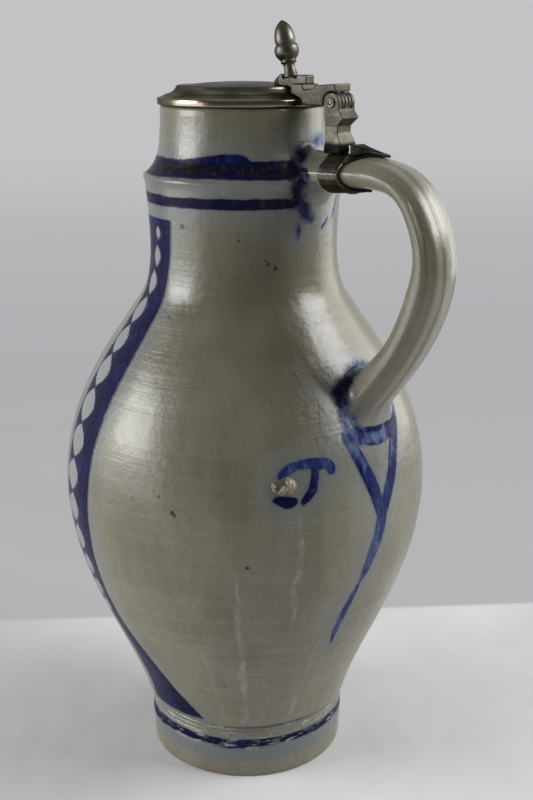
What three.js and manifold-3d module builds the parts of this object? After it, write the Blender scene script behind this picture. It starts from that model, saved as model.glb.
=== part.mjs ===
// Salt-glazed stoneware jug with a hinged pewter lid.
// Millimetres, +Z up. The origin is the centre of the base underside, the handle points along +X
// and the hinge pin lies along Y.
import * as THREE from 'three';
import { mergeVertices } from 'three/addons/utils/BufferGeometryUtils.js';
import Module from 'manifold-3d';

const wasm = await Module();
wasm.setup();

// Thrown body: radii of the outside and the heights at which they lie
const footRadius = 52.8;
const footBandRadius = 53.5;
const footHeight = 32;
const footEdge = 1.4;
const footBandHeight = 20.5;
const footBandWidth = 6;
const footBandGroove = 0.7;
const footGrooveDepth = 0.6;
const footGroovePitch = 2.4;
const footGrooveReach = 0.9;
const footGrooveCount = 3;
const footRidge = 0.2;
const bellyRadius = 95.8;
const bellyHeight = 158;
const neckRadius = 47.9;
const neckHeight = 288;
const collarRadius = 50.6;
const collarRise = 28;
const collarDrop = 12;
const collarBead = 3.4;
const collarBeadDepth = 0.9;
const rimRadius = 41.3;
const mouthRise = 33.7;
const throatDepth = 15.7;
const lipRound = 1.4;
const wall = 6.5;
const floorThickness = 9;
const floorRound = 14;

// Scar on the side of the belly, where a neighbour stuck to the jug in the kiln
const scarAngle = -37.3;
const scarHeight = 182;
const scarWidth = 15;
const scarTall = 10;
const scarProud = 2.4;
const scarNotch = 3.2;

// Pulled handle: fluted section and the loop that it follows
const handleWidth = 27;
const handleThickness = 18.4;
const handleWaist = 0.72;
const handleWaistStart = 0.08;
const handleWaistEnd = 0.62;
const handleRootFlare = 1.1;
const handleFlute = 0.15;
const handleDrop = 28.8;
const handleReach = 55.7;
const handleReachDrop = 39.9;
const handleRootDrop = 108.9;
const handleSink = 7;
const handleGap = 0.3;

// Pewter lid
const lidOverhang = 1.3;
const lidRimHeight = 3.4;
const lidLedge = 5;
const lidLedgeRise = 1.7;
const lidHeight = 9.2;
const lidPlateauInset = 10.6;
const lidDome = 1.9;
const plateauStep = 0.25;
const plateauBead = 2.4;
const lidWall = 1.8;
const lidSeatWidth = 5.8;
const lidSeatGap = 0.3;

// Hinge: five knuckles on one pin, the outer two and the middle one fixed to the post
const hingeSetback = 17.7;
const hingeRise = 2.2;
const knuckleRadius = 4.7;
const knuckleWidth = 2.25;
const knuckleGap = 0.3;
const knuckleCount = 5;
const knuckleRelief = 0.4;
const pinRadius = 1.5;
const pinBoreGap = 0.3;
const pinHeadRadius = 2.2;
const pinHeadHeight = 0.6;

// Arm from the lid to the hinge, with the short tab that stops the open lid
const armDrop = 1.4;
const armThickness = 6.6;
const armGripDepth = 6.5;
const armCap = 0.9;
const armDip = 2.5;
const tabLength = 1.9;
const tabThickness = 3.1;
const tabLift = 5.2;

// Post between the handle band and the hinge
const postWaistWidth = 8.4;
const postWaistHeight = 10.4;
const postFootWidth = 13;
const postFootReach = 7.2;
const postBack = 4.2;
const ledgeDrop = 6.7;
const ledgeReach = 7.2;
const ledgeShoulder = 4.5;
const ledgeBevel = 3.8;

// Pewter band round the handle, with a spur above and a tongue below
const bandWidth = 11.8;
const bandThickness = 1.3;
const bandLip = 0.5;
const bandOffset = 4.8;
const spurLength = 19;
const spurCrest = 2.2;
const spurSpread = 11.4;
const tongueLength = 9;

// Acorn thumbpiece and the base that carries it
const thumbBaseWidth = 5.6;
const thumbBaseFront = 21.5;
const thumbBaseHeight = 4.8;
const thumbBlockLength = 5.2;
const thumbBlockRise = 1.6;
const thumbCrest = 3.8;
const thumbCrestRise = 0.7;
const thumbSaddle = 1.2;
const acornPlace = 31.2;
const acornLean = 13;
const acornHeight = 26.8;
const acornCupRadius = 5.85;
const acornNutRadius = 4.9;
const acornStemRadius = 2.7;
const acornFootRadius = 3.7;
const acornSeatRise = 3.9;
const seatGap = 0.3;

// How far a cutting shape passes what it cuts
const spare = 2;

// Values that follow from the sizes above
const collarHeight = neckHeight + collarRise;
const rimHeight = collarHeight + mouthRise;
const throatHeight = rimHeight - throatDepth;
const lidRadius = rimRadius + lidOverhang;
const lidBottom = rimHeight + lidSeatGap;
const lidTop = lidBottom + lidHeight;
const plateauRadius = lidRadius - lidPlateauInset;
const hingeX = lidRadius + hingeSetback;
const hingeZ = lidBottom + hingeRise;
const knucklePitch = knuckleWidth + knuckleGap;
const barrelWidth = knucklePitch * knuckleCount - knuckleGap;
const bandCentre = hingeX + bandOffset;
const bandShell = handleGap + bandThickness;
const handleTopHeight = rimHeight - handleDrop;
const handleReachHeight = handleTopHeight - handleReachDrop;
const handleRootHeight = handleTopHeight - handleRootDrop;
const handleTopFace = handleTopHeight + handleThickness / 2;
const armGrip = lidRadius - armGripDepth;
const armTop = lidTop + armCap;
const acornSeat = lidTop + acornSeatRise;
const degrees = Math.PI / 180;
const bodyFacets = 50;
const bodySteps = 21;
const handleFacets = 24;
const handleSteps = 36;
const bandSteps = 26;

const glaze = new THREE.MeshStandardMaterial({ color: 0x8d8c80, roughness: 0.3, metalness: 0 });
const pewter = new THREE.MeshStandardMaterial({ color: 0x8b8a7c, roughness: 0.38, metalness: 1 });
const wornPewter = new THREE.MeshStandardMaterial({ color: 0x6f7066, roughness: 0.45, metalness: 1 });

// Solids and meshes

function solid(geometry) {
  geometry.deleteAttribute('normal');
  geometry.deleteAttribute('uv');
  const merged = mergeVertices(geometry, 1e-4);
  const triangles = [];
  const index = merged.index.array;
  for (let i = 0; i < index.length; i += 3) {
    const [a, b, c] = [index[i], index[i + 1], index[i + 2]];
    if (a !== b && b !== c && c !== a) triangles.push(a, b, c);
  }
  const vertProperties = new Float32Array(merged.attributes.position.array);
  const triVerts = new Uint32Array(triangles);
  return new wasm.Manifold(new wasm.Mesh({ numProp: 3, vertProperties, triVerts }));
}

function mesh(name, body, material) {
  const { vertProperties, triVerts } = body.getMesh();
  const geometry = new THREE.BufferGeometry();
  geometry.setAttribute('position', new THREE.BufferAttribute(new Float32Array(vertProperties), 3));
  geometry.setIndex(new THREE.BufferAttribute(new Uint32Array(triVerts), 1));
  geometry.computeVertexNormals();
  const result = new THREE.Mesh(geometry, material);
  result.name = name;
  return result;
}

// A profile of radii and heights, revolved about Y
function turned(profile, segments) {
  return new THREE.LatheGeometry(profile.map(([r, h]) => new THREE.Vector2(r, h)), segments);
}

// The same, stood upright about Z
function revolve(profile, segments) {
  return solid(turned(profile, segments).rotateX(Math.PI / 2));
}

// A side profile in X and Z, extruded symmetrically along Y
function extrudeAcross(outline, width) {
  const shape = new THREE.Shape(outline.map(([x, z]) => new THREE.Vector2(x, z)));
  const geometry = new THREE.ExtrudeGeometry(shape, { depth: width, bevelEnabled: false });
  return solid(geometry.rotateX(Math.PI / 2).translate(0, width / 2, 0));
}

// A front profile in Y and Z, extruded along X
function extrudeAlong(outline, start, end) {
  const shape = new THREE.Shape(outline.map(([y, z]) => new THREE.Vector2(y, z)));
  const geometry = new THREE.ExtrudeGeometry(shape, { depth: end - start, bevelEnabled: false });
  return solid(geometry.rotateX(Math.PI / 2).rotateZ(Math.PI / 2).translate(start, 0, 0));
}

// A plan outline in X and Y, extruded upwards
function extrudeUp(outline, bottom, top) {
  const shape = new THREE.Shape(outline.map(([x, y]) => new THREE.Vector2(x, y)));
  const geometry = new THREE.ExtrudeGeometry(shape, { depth: top - bottom, bevelEnabled: false });
  return solid(geometry.translate(0, 0, bottom));
}

function rodAcross(radius, width, centreY = 0) {
  return solid(new THREE.CylinderGeometry(radius, radius, width, 32).translate(hingeX, centreY, hingeZ));
}

// Skin over a row of rings, each with as many points, closed at both ends
function loft(rings) {
  const count = rings[0].length;
  const positions = rings.flat().flatMap((p) => [p.x, p.y, p.z]);
  const index = [];
  for (let i = 0; i + 1 < rings.length; i += 1) {
    for (let j = 0; j < count; j += 1) {
      const a = i * count + j;
      const b = i * count + ((j + 1) % count);
      index.push(a, a + count, b + count, a, b + count, b);
    }
  }
  for (const [ring, first] of [[0, true], [rings.length - 1, false]]) {
    const centre = new THREE.Vector3();
    rings[ring].forEach((p) => centre.addScaledVector(p, 1 / count));
    const hub = positions.length / 3;
    positions.push(centre.x, centre.y, centre.z);
    for (let j = 0; j < count; j += 1) {
      const a = ring * count + j;
      const b = ring * count + ((j + 1) % count);
      index.push(hub, first ? a : b, first ? b : a);
    }
  }
  const geometry = new THREE.BufferGeometry();
  geometry.setAttribute('position', new THREE.Float32BufferAttribute(positions, 3));
  geometry.setIndex(index);
  return solid(geometry);
}

// Stoneware body

// Outside of the jug above the turned foot: shares of the way up, and of the way out, that the
// smooth line passes between the foot and the belly and between the belly and the neck
function bodyCurve() {
  const rising = [
    [0, 0.04], [0.125, 0.168], [0.26, 0.34], [0.416, 0.555],
    [0.572, 0.75], [0.737, 0.905], [0.883, 0.98],
  ];
  const closing = [
    [0, 0], [0.13, 0.035], [0.27, 0.13], [0.4, 0.28],
    [0.53, 0.48], [0.67, 0.74], [0.78, 0.93], [0.89, 0.995],
  ];
  const line = rising.map(([up, out]) => new THREE.Vector2(
    footBandRadius + out * (bellyRadius - footBandRadius),
    footHeight + up * (bellyHeight - footHeight),
  ));
  closing.forEach(([up, out]) => line.push(new THREE.Vector2(
    bellyRadius - out * (bellyRadius - neckRadius),
    bellyHeight + up * (neckHeight - bellyHeight),
  )));
  line.push(new THREE.Vector2(neckRadius, neckHeight));
  line.push(new THREE.Vector2(neckRadius + 0.35 * (collarRadius - neckRadius), collarHeight - collarDrop));
  return new THREE.SplineCurve(line);
}

// Upright foot: a base, a shallow painted band and a row of turned grooves
function footProfile() {
  const bandBottom = footBandHeight - footBandWidth / 2;
  const bandTop = footBandHeight + footBandWidth / 2;
  const bandRadius = footBandRadius - footBandGroove;
  const ridgeRadius = footBandRadius + footRidge;
  const profile = [
    [0, 0],
    [footRadius - footEdge, 0],
    [footRadius, footEdge],
    [footBandRadius, bandBottom],
    [bandRadius, bandBottom + footBandGroove],
    [bandRadius, bandTop - footBandGroove],
    [footBandRadius, bandTop],
  ];
  for (let i = 0; i < footGrooveCount; i += 1) {
    const z = bandTop + (i + 1) * footGroovePitch;
    profile.push(
      [ridgeRadius, z - footGrooveReach],
      [footBandRadius - footGrooveDepth, z],
      [ridgeRadius, z + footGrooveReach],
    );
  }
  return profile;
}

// Top of the jug: collar, hollow flare above it and the upright rim with a rounded lip
function neckProfile() {
  const flare = new THREE.QuadraticBezierCurve(
    new THREE.Vector2(collarRadius, collarHeight),
    new THREE.Vector2(rimRadius + 1.4, collarHeight + 0.15 * mouthRise),
    new THREE.Vector2(rimRadius + 0.6, throatHeight),
  );
  return [
    [collarRadius - collarBeadDepth, collarHeight - collarBead],
    ...flare.getPoints(5).map((p) => [p.x, p.y]),
    [rimRadius, rimHeight - 4 * lipRound],
    [rimRadius, rimHeight - lipRound],
    [rimRadius - lipRound, rimHeight],
  ];
}

function outerProfile() {
  const body = bodyCurve().getPoints(bodySteps).map((p) => [p.x, p.y]);
  return [...footProfile(), ...body, ...neckProfile()];
}

// Outside radius of the jug at a height
function radiusAt(z) {
  const profile = outerProfile();
  const above = profile.findIndex((p, i) => i > 0 && p[1] >= z);
  const [low, high] = [profile[above - 1], profile[above]];
  return low[0] + ((high[0] - low[0]) * (z - low[1])) / (high[1] - low[1]);
}

// Inside of the jug from the lip down to the middle of the floor
function innerProfile() {
  const throat = rimRadius - wall;
  const profile = [
    [throat + lipRound, rimHeight],
    [throat, rimHeight - lipRound],
    [throat, throatHeight],
    [neckRadius - wall - 1, collarHeight - collarDrop],
  ];
  const steps = 9;
  for (let i = 0; i <= steps; i += 1) {
    const z = neckHeight + ((footHeight - neckHeight) * i) / steps;
    profile.push([radiusAt(z) - wall, z]);
  }
  const floorRadius = footBandRadius - wall;
  return [
    ...profile,
    [floorRadius - 0.07 * floorRound, floorThickness + 0.86 * floorRound],
    [floorRadius - 0.36 * floorRound, floorThickness + 0.29 * floorRound],
    [floorRadius - floorRound, floorThickness],
    [0, floorThickness],
  ];
}

// Low lump of clay with a three-cornered notch in its face
function kilnScar() {
  const angle = scarAngle * degrees;
  const sunk = 2;
  const seat = radiusAt(scarHeight) - sunk;
  const centre = new THREE.Vector3(seat, 0, scarHeight).applyAxisAngle(new THREE.Vector3(0, 0, 1), angle);
  const place = (shape) => solid(shape.rotateZ(angle).translate(centre.x, centre.y, centre.z));
  const lump = new THREE.SphereGeometry(1, 20, 12).scale(scarProud + sunk, scarWidth / 2, scarTall / 2);
  const notch = new THREE.CylinderGeometry(scarNotch, scarNotch, 2 * scarProud, 3).rotateZ(Math.PI / 2);
  notch.translate(sunk + 1.4 * scarProud, 1.5, 0.4);
  return place(lump).subtract(place(notch));
}

function jugBody() {
  const vessel = revolve([...outerProfile(), ...innerProfile()], bodyFacets);
  return mesh('jug_body', vessel.add(kilnScar()), glaze);
}

// Filled outline of the jug, larger by a gap, that trims what is applied to its side
function bodyEnvelope(gap) {
  const grown = outerProfile().map(([r, z]) => [r > 0 ? r + gap : 0, z]);
  return revolve([...grown, [0, rimHeight]], bodyFacets);
}

// Handle

// Middle line of the handle, from inside the collar out, round and down into the shoulder
function handlePath() {
  const top = handleTopHeight;
  const reach = hingeX + handleReach;
  const rootRadius = radiusAt(handleRootHeight);
  const fall = handleReachHeight - handleRootHeight;
  const span = reach - rootRadius;
  return new THREE.CatmullRomCurve3([
    new THREE.Vector3(rimRadius - 0.6 * handleSink, 0, top - 0.1 * handleSink),
    new THREE.Vector3(bandCentre, 0, top),
    new THREE.Vector3(hingeX + 0.38 * handleReach, 0, top - 0.01 * handleReachDrop),
    new THREE.Vector3(hingeX + 0.745 * handleReach, 0, top - 0.2 * handleReachDrop),
    new THREE.Vector3(hingeX + 0.945 * handleReach, 0, top - 0.6 * handleReachDrop),
    new THREE.Vector3(reach, 0, handleReachHeight),
    new THREE.Vector3(reach - 0.12 * span, 0, handleReachHeight - 0.27 * fall),
    new THREE.Vector3(reach - 0.44 * span, 0, handleReachHeight - 0.59 * fall),
    new THREE.Vector3(rootRadius + 0.43 * handleSink, 0, handleRootHeight + 0.86 * handleSink),
    new THREE.Vector3(rootRadius - handleSink, 0, handleRootHeight - 0.86 * handleSink),
  ], false, 'centripetal');
}

// Fluted section at a share of the handle's length: a middle rib, two side ribs and a round back
function handleRing(path, share, offset, points) {
  const centre = path.getPointAt(share);
  const along = path.getTangentAt(share);
  const outward = new THREE.Vector3(-along.z, 0, along.x);
  const across = new THREE.Vector3(0, 1, 0);
  const waistLength = handleWaistEnd - handleWaistStart;
  const bend = THREE.MathUtils.clamp((share - handleWaistStart) / waistLength, 0, 1);
  const waist = 1 - (1 - handleWaist) * Math.sin(Math.PI * bend) ** 1.5;
  const flare = 1 + (handleRootFlare - 1) * THREE.MathUtils.smoothstep(share, 0.45, 0.95);
  const ring = [];
  for (let j = 0; j < points; j += 1) {
    const turn = (2 * Math.PI * j) / points;
    const front = Math.cos(turn) > 1e-6;
    const flute = front ? 1 - handleFlute * Math.abs(Math.sin(2 * turn)) ** 1.3 : 1;
    const halfWidth = (handleWidth / 2) * flare + offset;
    const halfDepth = (handleThickness / 2) * waist * flare + offset;
    ring.push(centre.clone()
      .addScaledVector(across, halfWidth * flute * Math.sin(turn))
      .addScaledVector(outward, halfDepth * flute * Math.cos(turn)));
  }
  return ring;
}

// Length of handle between two shares, larger all round by an offset
function handleLoft(from, to, steps, offset) {
  const path = handlePath();
  const rings = [];
  for (let i = 0; i <= steps; i += 1) {
    const share = from + ((to - from) * i) / steps;
    rings.push(handleRing(path, share, offset, handleFacets));
  }
  return loft(rings);
}

function jugHandle() {
  const handle = handleLoft(0, 1, handleSteps, 0).subtract(bodyEnvelope(handleGap));
  return mesh('jug_handle', handle, glaze);
}

// Band round the handle

// Part of the handle's length at which it passes a distance from the jug's axis
function shareAtX(x) {
  const path = handlePath();
  const steps = 400;
  let share = 0;
  while (share < 0.5 && path.getPointAt(share).x < x) share += 1 / steps;
  return share;
}

// Leaf that narrows from a half width at the band's edge to a point, in plan
function leafPlan(half, length) {
  const root = bandCentre + bandWidth / 2;
  const edge = new THREE.QuadraticBezierCurve(
    new THREE.Vector2(root, half),
    new THREE.Vector2(root + 0.35 * length, 0.35 * half),
    new THREE.Vector2(root + length, 0.7),
  ).getPoints(5).map((p) => [p.x, p.y]);
  const farEdge = edge.map(([x, y]) => [x, -y]).reverse();
  return [[root - 1, half], ...edge, ...farEdge, [root - 1, -half]];
}

// Skin of the handle as thick as the band, from inside the band to past a leaf's point
function leafSkin(length) {
  const root = bandCentre + bandWidth / 2;
  return handleLoft(shareAtX(root - spare), shareAtX(root + length + spare), 8, bandShell);
}

// Pointed tongue under the handle
function tongue() {
  const plan = leafPlan(handleWidth / 2 + bandShell, tongueLength);
  const below = extrudeUp(plan, handleTopHeight - handleThickness, handleTopHeight - spare);
  return leafSkin(tongueLength).intersect(below);
}

// Pointed spur over the handle, with a crest that falls to its point
function spur() {
  const root = bandCentre + bandWidth / 2;
  const top = handleTopFace + bandThickness + spurCrest;
  const above = extrudeUp(leafPlan(spurSpread, spurLength), handleTopHeight, top + spare);
  const ridge = extrudeUp(leafPlan(0.45 * spurSpread, spurLength), 0, top + spare);
  const side = [
    [root - 1, handleTopHeight],
    [root + 0.8 * spurLength, handleTopHeight],
    [root + spurLength, handleTopFace - 2.4],
    [root + spurLength, handleTopFace - 0.4],
    [root + 0.06 * spurLength, top],
    [root - 1, top],
  ];
  const crest = extrudeAcross(side, 2 * spurSpread).intersect(ridge);
  return leafSkin(spurLength).intersect(above).add(crest);
}

// Open ring round the handle with a raised lip along its outer edge, a spur and a tongue
function handleBand() {
  const start = shareAtX(bandCentre - bandWidth / 2);
  const end = shareAtX(bandCentre + bandWidth / 2);
  const lipStart = shareAtX(bandCentre + bandWidth / 2 - 1.4);
  const ring = handleLoft(start, end, 4, bandShell).add(handleLoft(lipStart, end, 2, bandShell + bandLip));
  return ring.add(tongue()).add(spur()).subtract(handleLoft(0, 0.6, bandSteps, handleGap));
}

function handleStrap() {
  return mesh('handle_strap', handleBand(), wornPewter);
}

// Hinge post and pin

function knuckleY(i) {
  return (i - (knuckleCount - 1) / 2) * knucklePitch;
}

// Knuckles with an even number belong to the post, the others to the lid
function fixedKnuckles() {
  return [...Array(knuckleCount).keys()].filter((i) => i % 2 === 0);
}

function movingKnuckles() {
  return [...Array(knuckleCount).keys()].filter((i) => i % 2 === 1);
}

function knuckle(i) {
  return rodAcross(knuckleRadius, knuckleWidth, knuckleY(i));
}

// Space that one knuckle needs in the other leaf of the hinge
function knuckleRoom(i) {
  return rodAcross(knuckleRadius + knuckleRelief, knuckleWidth + 2 * knuckleGap, knuckleY(i));
}

function pinBore() {
  return rodAcross(pinRadius + pinBoreGap, barrelWidth + spare);
}

function hingePost() {
  const footZ = handleTopHeight;
  const back = hingeX - postBack;
  const waistZ = hingeZ - postWaistHeight;
  const side = [
    [back + 0.4, footZ],
    [back + 0.2, waistZ - 0.4 * postWaistHeight],
    [back, waistZ],
    [back + 0.2, hingeZ],
    [hingeX + knuckleRadius, hingeZ],
    [hingeX + ledgeShoulder, hingeZ - 0.5 * ledgeDrop],
    [hingeX + ledgeReach, hingeZ - ledgeDrop],
    [hingeX + ledgeReach - ledgeBevel, hingeZ - ledgeDrop - 0.95 * ledgeBevel],
    [hingeX + ledgeReach - 1.05 * ledgeBevel, waistZ - 0.3 * postWaistHeight],
    [hingeX + 0.78 * postFootReach, handleTopFace + bandShell + 0.2 * postWaistHeight],
    [hingeX + postFootReach, footZ],
  ];
  const half = barrelWidth / 2;
  const waist = postWaistWidth / 2;
  const foot = postFootWidth / 2;
  const front = [
    [-foot, footZ],
    [-foot, handleTopFace + bandShell],
    [-waist - 0.5, waistZ - 0.3 * postWaistHeight],
    [-waist, waistZ],
    [-half, hingeZ - ledgeDrop + 0.4],
    [-half, hingeZ + knuckleRadius],
    [half, hingeZ + knuckleRadius],
    [half, hingeZ - ledgeDrop + 0.4],
    [waist, waistZ],
    [waist + 0.5, waistZ - 0.3 * postWaistHeight],
    [foot, handleTopFace + bandShell],
    [foot, footZ],
  ];
  let post = extrudeAcross(side, barrelWidth + postFootWidth);
  post = post.intersect(extrudeAlong(front, back - spare, hingeX + ledgeReach + spare));
  for (const i of fixedKnuckles()) post = post.add(knuckle(i));
  for (const i of movingKnuckles()) {
    post = post.subtract(knuckleRoom(i));
  }
  const bandTop = handleLoft(0, 0.6, bandSteps, bandShell + seatGap);
  return mesh('hinge_post', post.subtract(pinBore()).subtract(bandTop), pewter);
}

function hingePin() {
  const headY = barrelWidth / 2 + seatGap;
  const reach = headY + pinHeadHeight;
  const profile = [
    [0, -reach],
    [pinHeadRadius - 0.5, -reach],
    [pinHeadRadius, -reach + 0.4],
    [pinHeadRadius, -headY],
    [pinRadius, -headY],
    [pinRadius, headY],
    [pinHeadRadius, headY],
    [pinHeadRadius, reach - 0.4],
    [pinHeadRadius - 0.5, reach],
    [0, reach],
  ];
  return mesh('hinge_pin', solid(turned(profile, 24).translate(hingeX, 0, hingeZ)), wornPewter);
}

// Lid

// Outside of the lid: upright rim, sloping ledge, concave slope and a top that swells slightly
function lidOutside() {
  const ledgeRadius = lidRadius - lidLedge;
  const ledgeTop = lidBottom + lidRimHeight + lidLedgeRise;
  const slope = new THREE.QuadraticBezierCurve(
    new THREE.Vector2(ledgeRadius, ledgeTop),
    new THREE.Vector2(plateauRadius + 1.6, ledgeTop + 0.8),
    new THREE.Vector2(plateauRadius, lidTop - 0.5),
  );
  return [
    [lidRadius - 0.4, lidBottom],
    [lidRadius, lidBottom + 0.4],
    [lidRadius, lidBottom + lidRimHeight - 0.5],
    [lidRadius - 0.5, lidBottom + lidRimHeight],
    ...slope.getPoints(6).map((p) => [p.x, p.y]),
    [plateauRadius - 0.5, lidTop],
    ...domeProfile(lidTop - plateauStep, plateauRadius - plateauBead),
  ];
}

// Low dome from an edge radius in to the axis
function domeProfile(height, radius) {
  return [1, 0.75, 0.5, 0.25, 0].map((share) => [share * radius, height + lidDome * (1 - share ** 2)]);
}

function lidCover() {
  const seatRadius = lidRadius - lidSeatWidth;
  const hollow = [
    ...domeProfile(lidTop - plateauStep - lidWall, plateauRadius - lidWall).reverse(),
    [seatRadius - 0.4, lidBottom + lidRimHeight - lidWall],
    [seatRadius, lidBottom],
  ];
  return mesh('lid_cover', revolve([...hollow, ...lidOutside()], bodyFacets), pewter);
}

// Filled outline of the lid, larger by a gap, that shapes what is soldered to it
function lidEnvelope(gap) {
  const grown = lidOutside().map(([r, z]) => [r > 0 ? r + gap : 0, z + gap]);
  const foot = lidBottom - armDrop - spare;
  return revolve([[0, foot], [lidRadius - 0.5 + gap, foot], ...grown], bodyFacets);
}

function lidArm() {
  const bottom = hingeZ - armDrop;
  const tabBottom = hingeZ + tabLift;
  const tabTop = tabBottom + tabThickness;
  const side = [
    [armGrip, bottom],
    [hingeX - knuckleRadius + knuckleGap, bottom],
    [hingeX, hingeZ],
    [hingeX + tabLength, tabBottom],
    [hingeX + tabLength, tabTop + 0.3],
    [hingeX - 0.5 * hingeSetback, tabTop - 0.5],
    [hingeX - 0.68 * hingeSetback, bottom + armThickness + 0.6],
    [lidRadius + 1.6, armTop - armDip],
    [lidRadius, armTop],
    [armGrip, armTop],
  ];
  let arm = extrudeAcross(side, barrelWidth);
  for (const i of fixedKnuckles()) {
    arm = arm.subtract(knuckleRoom(i));
  }
  for (const i of movingKnuckles()) arm = arm.add(knuckle(i));
  return mesh('lid_arm', arm.subtract(pinBore()).subtract(lidEnvelope(seatGap)), pewter);
}

// Turns a shape made upright at the origin into the leaning axis of the acorn
function leaning(shape) {
  const upright = shape.rotateX(Math.PI / 2);
  return solid(upright.rotateY(-acornLean * degrees).translate(acornPlace, 0, acornSeat));
}

// Gusset along the lid that carries the acorn, with a block over the lid's edge
function thumbBase() {
  const top = lidTop + thumbBaseHeight;
  const blockStart = lidRadius - thumbBlockLength;
  const side = [
    [thumbBaseFront, lidTop - spare],
    [armGrip - seatGap, lidTop - spare],
    [armGrip - seatGap, armTop + seatGap],
    [lidRadius, armTop + seatGap],
    [lidRadius, top],
    [blockStart, top],
    [blockStart - 0.6, top - thumbBlockRise],
    [acornPlace + thumbCrest, top - thumbSaddle],
    [acornPlace - thumbCrest, top + thumbCrestRise],
    [thumbBaseFront, lidTop + 0.45 * thumbBaseHeight],
  ];
  const half = thumbBaseWidth / 2;
  const plan = [
    [thumbBaseFront, -0.8],
    [acornPlace - 0.9 * thumbBaseWidth, -half],
    [lidRadius, -half],
    [lidRadius, half],
    [acornPlace - 0.9 * thumbBaseWidth, half],
    [thumbBaseFront, 0.8],
  ];
  const across = extrudeAcross(side, 2 * thumbBaseWidth);
  const gusset = across.intersect(extrudeUp(plan, lidTop - 2 * spare, top + spare));
  const seatRadius = acornFootRadius + seatGap;
  const seat = new THREE.CylinderGeometry(seatRadius, seatRadius, acornHeight, 24);
  const socket = leaning(seat.translate(0, acornHeight / 2 - seatGap, 0));
  return mesh('thumb_base', gusset.subtract(socket).subtract(lidEnvelope(seatGap)), pewter);
}

// Acorn on its turned stem: foot, waist and collar, then the cup and the nut
function acorn() {
  const cup = new THREE.SplineCurve([
    new THREE.Vector2(0.68 * acornCupRadius, 0.315 * acornHeight),
    new THREE.Vector2(0.92 * acornCupRadius, 0.385 * acornHeight),
    new THREE.Vector2(acornCupRadius, 0.46 * acornHeight),
    new THREE.Vector2(0.97 * acornCupRadius, 0.525 * acornHeight),
    new THREE.Vector2(0.87 * acornCupRadius, 0.565 * acornHeight),
  ]);
  const nut = new THREE.SplineCurve([
    new THREE.Vector2(0.92 * acornNutRadius, 0.578 * acornHeight),
    new THREE.Vector2(acornNutRadius, 0.65 * acornHeight),
    new THREE.Vector2(0.95 * acornNutRadius, 0.76 * acornHeight),
    new THREE.Vector2(0.72 * acornNutRadius, 0.88 * acornHeight),
    new THREE.Vector2(0.28 * acornNutRadius, 0.97 * acornHeight),
  ]);
  const profile = [
    [0, 0],
    [acornFootRadius, 0],
    [acornFootRadius - 0.2, 0.03 * acornHeight],
    [acornStemRadius + 0.3, 0.1 * acornHeight],
    [acornStemRadius, 0.18 * acornHeight],
    [acornStemRadius + 0.3, 0.235 * acornHeight],
    [acornStemRadius + 1.1, 0.262 * acornHeight],
    [acornStemRadius + 1.1, 0.29 * acornHeight],
    ...cup.getPoints(7).map((p) => [p.x, p.y]),
    [0.86 * acornNutRadius, 0.57 * acornHeight],
    ...nut.getPoints(9).map((p) => [p.x, p.y]),
    [0, acornHeight],
  ];
  return mesh('thumb_acorn', leaning(turned(profile, 24)), pewter);
}

const jug = new THREE.Group();
jug.name = 'stoneware_jug';
jug.add(jugBody(), jugHandle(), handleStrap(), hingePost(), hingePin());
jug.add(lidCover(), lidArm(), thumbBase(), acorn());

export default jug;
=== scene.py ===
import math

import bmesh
import bpy
import numpy as np
from mathutils import Matrix, Vector, noise


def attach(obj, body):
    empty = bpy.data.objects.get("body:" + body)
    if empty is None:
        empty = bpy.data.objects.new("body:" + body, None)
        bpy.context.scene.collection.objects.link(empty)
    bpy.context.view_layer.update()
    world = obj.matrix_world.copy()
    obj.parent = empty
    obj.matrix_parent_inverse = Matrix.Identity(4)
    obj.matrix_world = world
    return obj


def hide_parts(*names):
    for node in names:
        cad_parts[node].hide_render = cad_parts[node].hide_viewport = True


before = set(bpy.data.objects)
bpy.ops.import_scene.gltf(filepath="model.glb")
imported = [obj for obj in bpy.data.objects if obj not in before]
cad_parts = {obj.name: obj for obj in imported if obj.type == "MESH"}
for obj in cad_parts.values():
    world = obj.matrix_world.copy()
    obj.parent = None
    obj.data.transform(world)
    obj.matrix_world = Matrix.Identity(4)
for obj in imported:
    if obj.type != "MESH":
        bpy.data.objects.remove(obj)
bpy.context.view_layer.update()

MM = 0.001
CIRCLE = 2 * math.pi
# Angle from the handle's side to the right of the photograph
PHOTO_TURN = math.radians(42)

# Thrown body, in millimetres
FOOT_RADIUS = 52.8
FOOT_BAND_RADIUS = 53.5
FOOT_BAND_HEIGHT = 20.5
FOOT_BAND_WIDTH = 6
FOOT_HEIGHT = 32
GROOVE_PITCH = 2.4
BELLY_RADIUS = 95.6
BELLY_HEIGHT = 158
NECK_RADIUS = 47.9
NECK_HEIGHT = 288
COLLAR_RADIUS = 50.6
COLLAR_HEIGHT = 316
COLLAR_FOOT = COLLAR_HEIGHT - 12
FLARE_TOP = 334
RIM_RADIUS = 41.3
RIM_HEIGHT = 349.7
WALL = 6.5
FLOOR = 9

# Handle and hinge
HINGE = Vector((60.3, 0, 352.2)) * MM
HANDLE_WIDTH = 27
HANDLE_THICKNESS = 18.4
FLUTE_DEPTH = 0.115
HANDLE_TOP = 320.9
HANDLE_REACH_HEIGHT = 281
HANDLE_ROOT_HEIGHT = 212
HANDLE_REACH = 116

# Lid
LID_RADIUS = 42.55
LID_BOTTOM = 350
LID_TOP = 359.2
PLATEAU_RADIUS = 33.2
# The solder under the thumbpiece ends this far out, and fades over this length
SOLDER_END = 54
SOLDER_FADE = 12

# Paper behind the jug, and the room round the camera
PAPER_TONE = (0.545, 0.545, 0.56)
NEAR_PAPER_TONE = (0.43, 0.43, 0.45)
ROOM_TONE = (0.105, 0.105, 0.11)

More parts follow.
